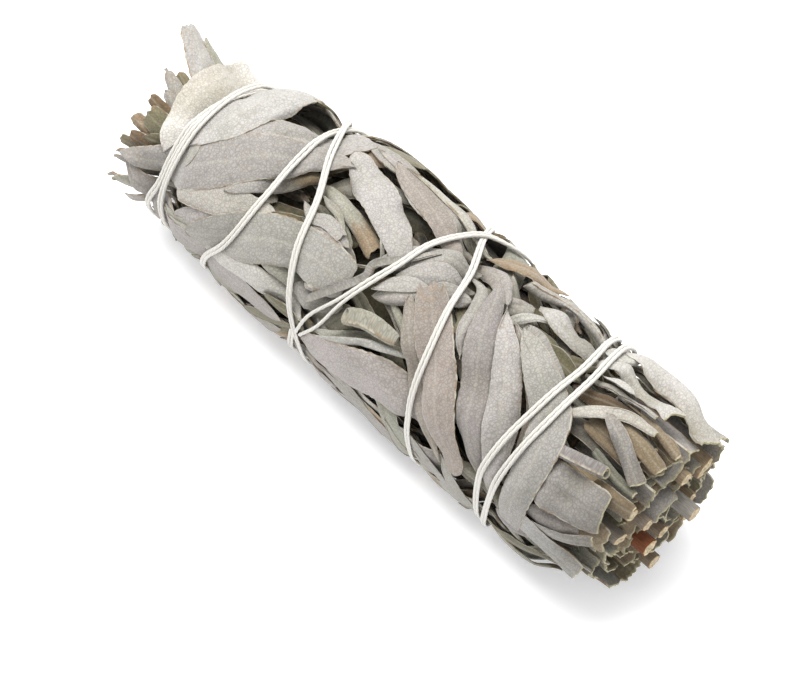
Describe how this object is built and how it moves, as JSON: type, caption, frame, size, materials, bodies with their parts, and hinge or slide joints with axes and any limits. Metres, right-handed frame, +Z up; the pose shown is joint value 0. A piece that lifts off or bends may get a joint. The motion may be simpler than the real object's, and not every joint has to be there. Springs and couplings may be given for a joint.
{
  "type": "sage bunch",
  "caption": "Bundle of dried sage leaves on woody stems, tied with a doubled cotton string in crossing turns, lying on its side.",
  "frame": {"origin": "on the flat spot that the bundle rests on, under the middle of its length", "axes": "+X along the bundle from its leafy tip to its cut stems, +Z up, away from the surface that it lies on"},
  "size_m": [0.1181, 0.0329, 0.0332],
  "materials": {
    "sage_leaf": "dry, matt and finely wrinkled",
    "stem_wood": "dry bark with a pale cut end",
    "cotton_string": "matt twisted cotton"
  },
  "bodies": {
    "root": {"sage_leaves": "sage_leaf", "string": "cotton_string", "stem_01": "stem_wood", "stem_02": "stem_wood", "stem_03": "stem_wood", "stem_04": "stem_wood", "stem_05": "stem_wood", "stem_06": "stem_wood", "stem_07": "stem_wood", "stem_08": "stem_wood", "stem_09": "stem_wood", "stem_10": "stem_wood", "stem_11": "stem_wood", "stem_12": "stem_wood"}
  },
  "joints": []
}
